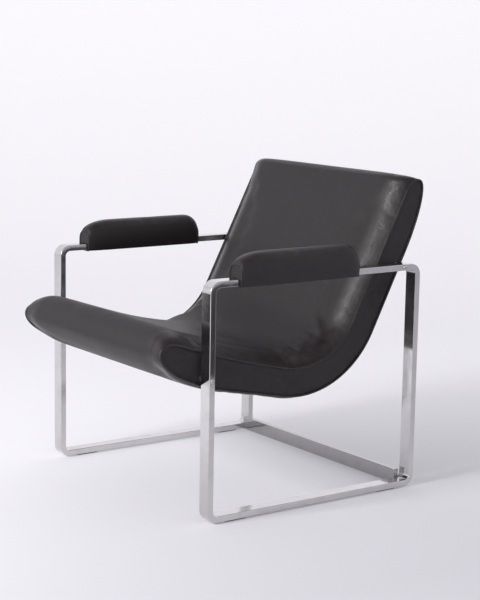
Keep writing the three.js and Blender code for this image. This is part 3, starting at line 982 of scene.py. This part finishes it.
def makeArmPad(side, values):
    grow = values["cover"]
    front, rear = values["front"] - grow, values["rear"] + grow
    ends = [(front, values["frontEnd"] + grow), (rear, -values["rearEnd"] - grow)]
    steps = values["endSteps"]
    curve = [1 - math.cos(i / steps * math.pi / 2) for i in range(steps + 1)]
    frontRun, rearRun = ([tip + reach * part for part in curve] for tip, reach in ends)
    middle = rearRun[-1] - frontRun[-1]
    between = [frontRun[-1] + middle * i / values["middleSteps"] for i in range(1, values["middleSteps"])]
    stations = frontRun + between + rearRun[::-1]
    rings = []
    for y in stations:
        full = min(roundEnd(y - front, ends[0][1]), roundEnd(rear - y, -ends[1][1]))
        rings.append([p + Vector((0, y, 0)) for p in armSection(values, full)])
    panels = {}
    for tip, way in ((0, 1), (-1, -1)):
        outer = rings[tip]
        inner = [tunnelPoint(values, p) + Vector((0, stations[tip], 0)) for p in outer]
        panels[tip] = [[a.lerp(b, k / values["panelSteps"]) for a, b in zip(outer, inner)]
                       for k in range(1, values["panelSteps"] + 1)]
        panels[tip] += [[p + Vector((0, way * depth, 0)) for p in inner] for depth in values["tunnelSteps"]]
    rows = panels[0][::-1] + rings + panels[-1]
    count = len(rings[0])
    place = Vector((bothSides[side] * loopMiddle.x, loopMiddle.y, armBarZ))
    points = [p + place for row in rows for p in row]
    faces = []
    for r in range(len(rows)):
        following = (r + 1) % len(rows)
        for c in range(count):
            d = (c + 1) % count
            faces.append((r * count + c, r * count + d, following * count + d, following * count + c))
    pad = meshFrom(f"{side}ArmPad", points, faces)
    first = len(panels[0])
    last = first + len(rings) - 1
    inside = len(values["tunnelSteps"])
    heldRows = {*range(inside + 1), first, last, *range(len(rows) - inside - 1, len(rows))}
    under = armBarZ - barThickness / 2 - values["heldBelow"]
    held = [i for i, p in enumerate(points) if p.z < under or i // count in heldRows]
    seams = [[points[r * count + c] for c in range(count)] for r in (first, last)]
    return pad, held, seams


def fillArmPad(side, values):
    pad, held, seams = makeArmPad(side, values)
    inflate(pad, held, values, [values["cap"]] * len(pad.data.vertices))
    tautFrom = armBarZ + values["tautFrom"]
    paintWearAndSheen(pad, lambda v: values["tautTop"] if v.co.z > tautFrom else values["tautSide"])
    modify(pad, "SUBSURF", levels=1, render_levels=1)
    smooth(pad)
    finishPiece(pad, "black_leather", leatherFinish, f"{side}_arm_cover", f"{side}_arm_foam")
    for end, line in zip(("Front", "Rear"), seams):
        piping = tubeAlong(f"{side}Arm{end}Piping", line, values["piping"], values["pipingRoundness"])
        paintWearAndSheen(piping, lambda v: values["pipingTaut"])
        finishPiece(piping, "black_leather", leatherFinish)


for side in bothSides:
    fillArmPad(side, armValues)
print("arm pads made")

# Finishes of the pieces that stay as they are in the frame, by a part of their names
nodeFinishes = {
    "_glide": coats["blackNylon"],
    "_spacer": coats["zincPlate"],
    "_nut": coats["zincPlate"],
    "_rail": coats["blackPowderCoat"],
    "_tube": coats["blackPowderCoat"],
    "_strap_": webbingFinish,
}
for name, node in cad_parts.items():
    for part, finish in nodeFinishes.items():
        if part in name:
            node.data.materials.clear()
            node.data.materials.append(finish)

# Stage: a pale floor that sweeps up far behind the chair, with painted light: it glows of itself, more
# further back and most on the wall, which lifts its shadows
stageValues = {
    "size": 26.0,
    "behind": 7.0,
    "lowUnder": 0.01,  # what is lower than this is floor, not wall
    "wall": 9.0,
    "sweep": 4.0,
    "sweepSteps": 24,
    "pale": (0.695, 0.692, 0.712),
    "paler": (0.705, 0.702, 0.722),
    "nearGlow": (0.045, 0.043, 0.06),  # painted light: the floor glows a little of itself, which lifts its shadows
    "farGlow": (0.275, 0.275, 0.29),
    "glowSlant": 0.6,  # the glow starts nearer on the left
    "glowRange": (-1.0, 0.55),
    "wallGlow": (0.395, 0.395, 0.40),
    "wallRange": (2.0, 6.0),
    "flecks": 300.0,
    "roughness": 0.8,
    "sheen": 0.1,
}


def makePaper(values, away):
    paper = Finish("palePaper")
    depth, across = paper.along(away), paper.along(cameraRight)
    colour = paper.colours(paper.noise(values["flecks"], detail=2.0), values["pale"], values["paler"])
    lit = paper.steps(depth - across * values["glowSlant"], *values["glowRange"])
    glow = paper.colours(lit, values["nearGlow"], values["farGlow"])
    glow = paper.colours(paper.steps(depth, *values["wallRange"]), glow, values["wallGlow"])
    return paper.surface({
        "Base Color": colour,
        "Roughness": values["roughness"],
        "Specular IOR Level": values["sheen"],
        "Emission Color": glow,
        "Emission Strength": 1.0,
    })


def makeStage(values):
    away = Vector((-towardsCamera.x, -towardsCamera.y, 0)).normalized()
    deselectAll()
    bpy.ops.mesh.primitive_plane_add(size=values["size"])
    floor = startPiece("paleFloor")
    floor.rotation_euler = (0, 0, math.atan2(away.y, away.x) - math.pi / 2)
    sizeAndPlace(floor, (1, 1, 1), away * (values["behind"] - values["size"] / 2))
    editing(floor, "EDGE")
    reach = values["behind"] * justUnder
    points = floor.data.vertices

    def isFar(vertex):
        return points[vertex].co.dot(away) > reach

    def isFarAndLow(vertex):
        return isFar(vertex) and points[vertex].co.z < values["lowUnder"]

    pick(floor, lambda edge: all(map(isFar, edge.vertices)), "edges")
    bpy.ops.mesh.extrude_region_move(TRANSFORM_OT_translate={"value": (0, 0, values["wall"])})
    pick(floor, lambda edge: all(map(isFarAndLow, edge.vertices)), "edges")
    bpy.ops.mesh.bevel(offset=values["sweep"], segments=values["sweepSteps"])
    doneEditing()
    smooth(floor)
    floor.data.materials.append(makePaper(values, away))


makeStage(stageValues)

# Flags: two black cards that only reflections see, on the line that the near front leg mirrors
flagValues = {"start": 1.5, "length": 2.2, "width": 0.5, "lift": 0.004}


def makeFlag(name, way, values):
    line = Vector((towardsCamera.x, -towardsCamera.y, 0)).normalized()
    leg = Vector((loopMiddle.x, loopLow.y, values["lift"]))
    deselectAll()
    bpy.ops.mesh.primitive_plane_add(size=1)
    flag = startPiece(name)
    flag.rotation_euler = (0, 0, math.atan2(line.y, line.x))
    away = line * way * (values["start"] + values["length"] / 2)
    sizeAndPlace(flag, (values["length"], values["width"], 1), leg + away)
    flag.data.materials.append(coats["blackCard"])
    flag.visible_camera = flag.visible_diffuse = flag.visible_shadow = False


for name, way in (("rearFlag", 1), ("frontFlag", -1)):
    makeFlag(name, way, flagValues)

# Lights: a soft square key from the chair's front, and a studio that is brightest round the horizon
keyValues = {"azimuth": 3, "elevation": 28, "distance": 4.4, "size": 1.2, "aim": 0.4, "power": 138}
worldValues = {"horizon": (0.97, 0.945, 0.985), "zenith": (0.37, 0.355, 0.375), "low": 0.25, "high": 0.85}


def makeKeyLight(values):
    turn, rise = math.radians(values["azimuth"]), math.radians(values["elevation"])
    data = bpy.data.lights.new("key", "AREA")
    data.energy = values["power"]
    data.shape = "SQUARE"
    data.size = values["size"]
    light = bpy.data.objects.new("key", data)
    bpy.context.scene.collection.objects.link(light)
    way = Vector((math.sin(turn) * math.cos(rise), -math.cos(turn) * math.cos(rise), math.sin(rise)))
    light.location = way * values["distance"] + Vector((0, 0, values["aim"]))
    light.rotation_mode = "QUATERNION"
    light.rotation_quaternion = (-way).to_track_quat("-Z", "Y")


makeKeyLight(keyValues)


def makeWorld(values):
    sky = Finish("softStudio", bpy.data.worlds.new("softStudio"), "Background", "Generated")
    height = sky.steps(sky.along((0, 0, 1)), values["low"], values["high"])
    colour = sky.colours(height, values["horizon"], values["zenith"])
    bpy.context.scene.world = sky.surface({"Color": colour})
    bpy.context.scene.view_settings.view_transform = "Standard"


makeWorld(worldValues)
print("stage and lights set")
